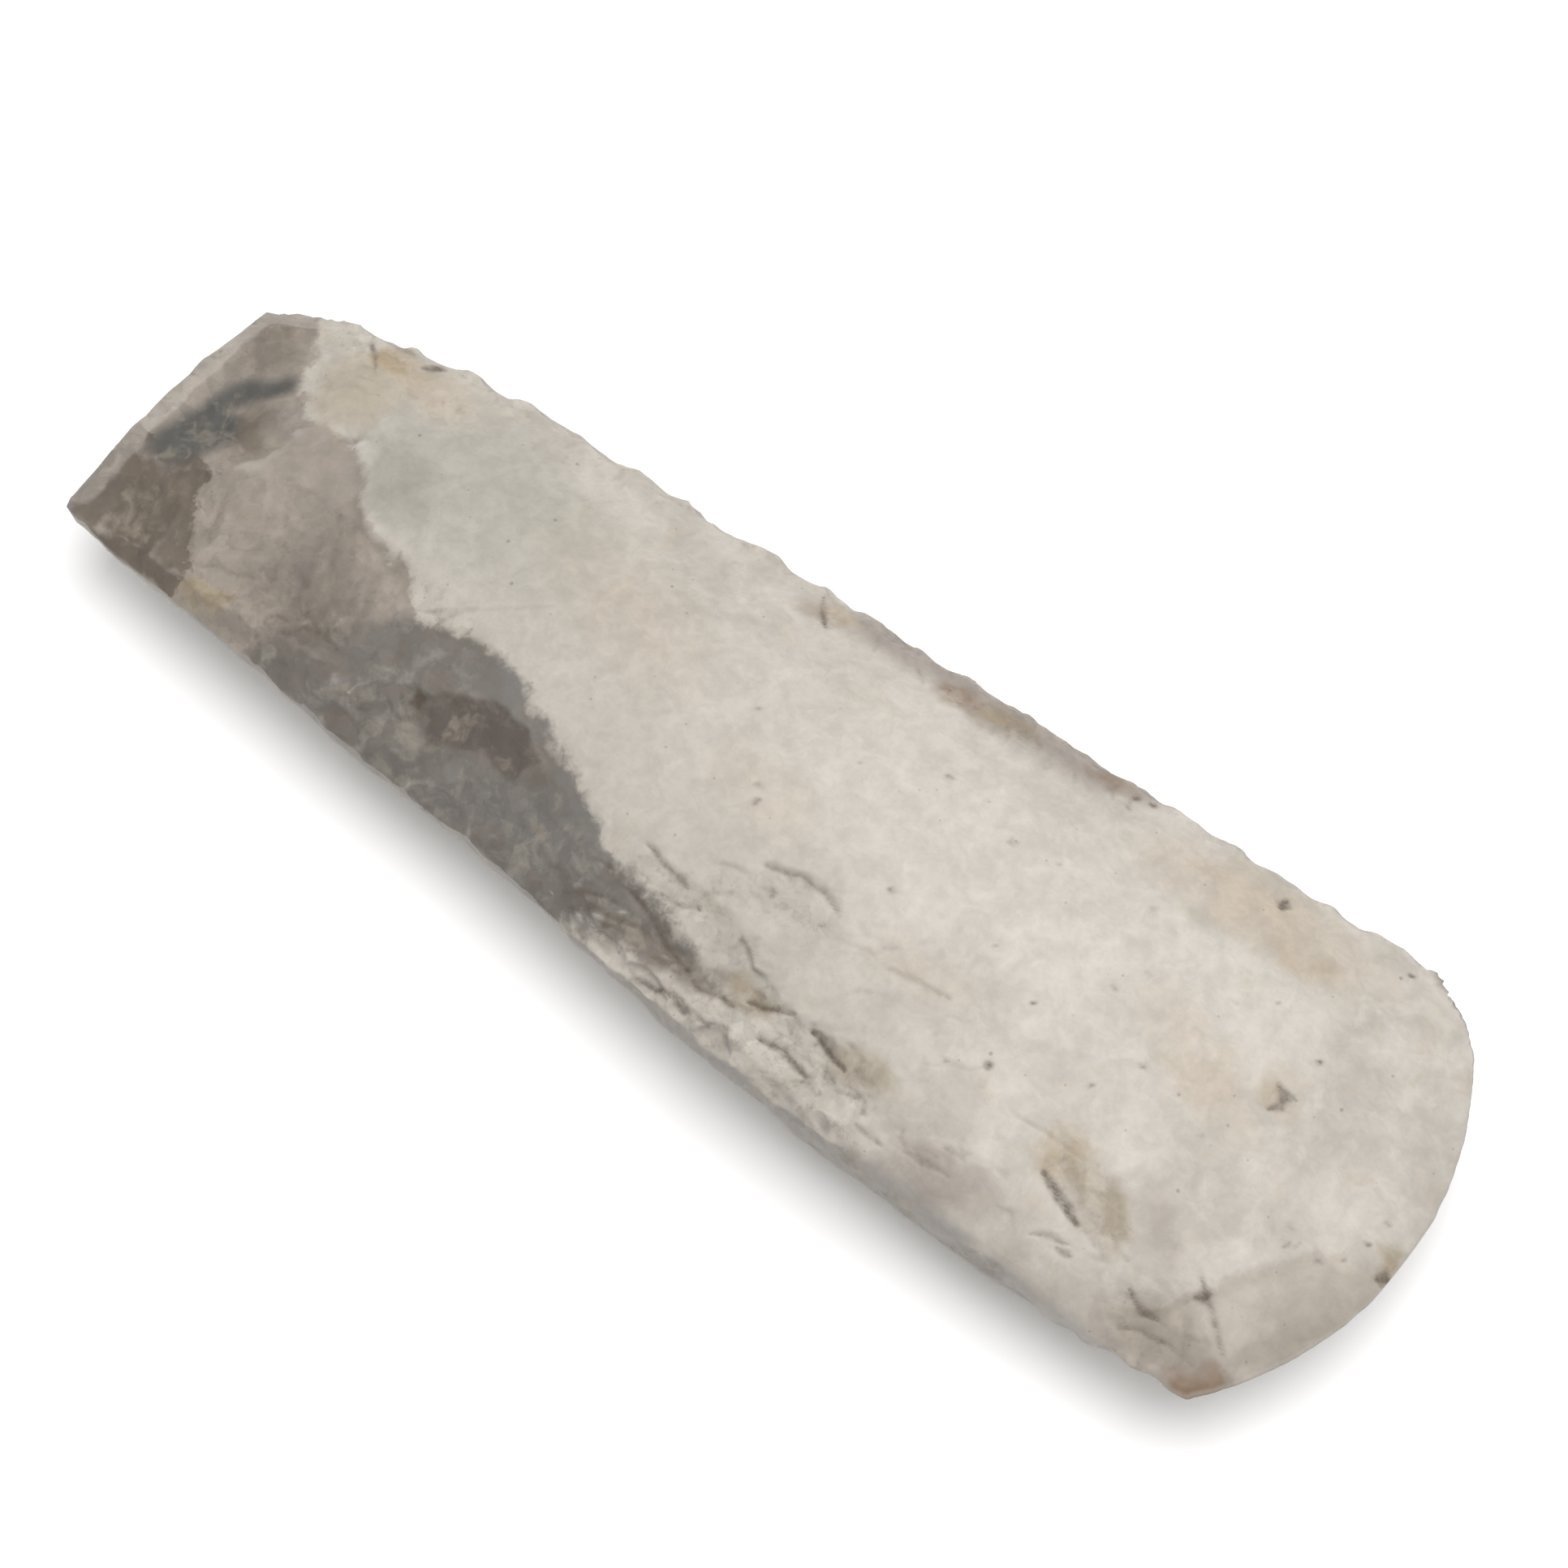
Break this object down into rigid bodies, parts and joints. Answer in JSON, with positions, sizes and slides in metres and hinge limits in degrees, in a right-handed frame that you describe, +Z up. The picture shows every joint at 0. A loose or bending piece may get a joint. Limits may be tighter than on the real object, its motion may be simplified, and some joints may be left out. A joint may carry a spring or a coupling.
{
  "type": "polished flint axe head",
  "caption": "Long polished stone axe head with a curved cutting edge, squared sides and a flaked butt, lying on one broad face.",
  "frame": {"origin": "under the middle of the axe's box, at the level that it lies on", "axes": "+X along the length to the cutting edge, +Y across to the straighter long side, +Z up through the thickness"},
  "size_m": [0.2, 0.0658, 0.0269],
  "materials": {
    "flint": "ground and weathered, satin"
  },
  "bodies": {
    "root": {"flint_axe": "flint"}
  },
  "joints": []
}
